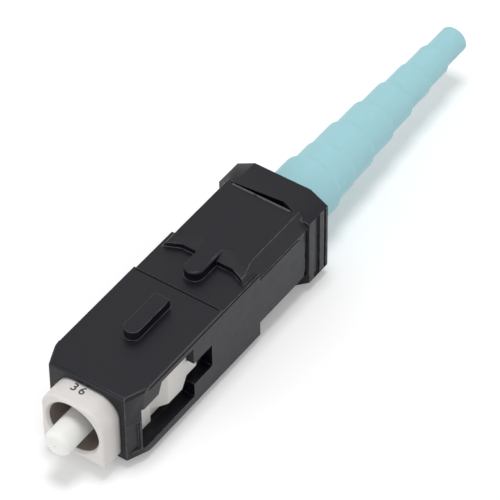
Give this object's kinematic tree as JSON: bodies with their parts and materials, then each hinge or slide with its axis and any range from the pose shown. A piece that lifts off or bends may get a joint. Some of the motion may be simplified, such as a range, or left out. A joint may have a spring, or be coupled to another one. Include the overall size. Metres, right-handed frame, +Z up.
{
  "type": "sc fibre connector",
  "caption": "Push-pull SC fibre connector with a floating ferrule, a sliding shroud, a splice locked by a cam and a tapered boot.",
  "frame": {"origin": "on the ferrule's axis, in the plane of the plug frame's nose", "axes": "-Y out of the nose along the ferrule, +Y towards the boot, +Z up on the side of the shroud's key"},
  "size_m": [0.0094, 0.0593, 0.009],
  "materials": {
    "black_shell": "fine matt moulded texture",
    "ivory_frame": "satin moulded",
    "ferrule_ceramic": "ground, polished tip",
    "fibre_glass": "clear",
    "holder_plastic": "satin moulded",
    "splice_plastic": "smooth moulded",
    "cam_plastic": "satin moulded",
    "spring_steel": "bright drawn wire",
    "rear_plastic": "satin moulded",
    "tube_plastic": "smooth extruded",
    "crimp_metal": "drawn tube",
    "boot_rubber": "matt flexible moulding"
  },
  "bodies": {
    "core": {"inner_housing": "ivory_frame", "rear_body": "rear_plastic", "coil_spring": "spring_steel", "boot": "boot_rubber"},
    "shroud": {"outer_shroud": "black_shell"},
    "ferrule_unit": {"ferrule": "ferrule_ceramic", "fibre_stub": "fibre_glass", "ferrule_holder": "holder_plastic", "splice_lower": "splice_plastic", "splice_upper": "splice_plastic", "guide_tube": "tube_plastic", "crimp_tube": "crimp_metal"},
    "cam": {"cam_ring": "cam_plastic"}
  },
  "joints": [
    {"name": "shroud_slide", "type": "slide", "parent": "core", "child": "shroud", "axis": [0, 1, 0], "range_m": [0, 0.0016]},
    {"name": "ferrule_float", "type": "slide", "parent": "core", "child": "ferrule_unit", "axis": [0, 1, 0], "range_m": [0, 0.001], "stiffness_N_per_m": 2500, "deforming": ["coil_spring"]},
    {"name": "cam_turn", "type": "hinge", "parent": "ferrule_unit", "child": "cam", "pos_m": [0, 0.0154, 0], "axis": [0, 1, 0], "range_deg": [-90, 0]}
  ]
}
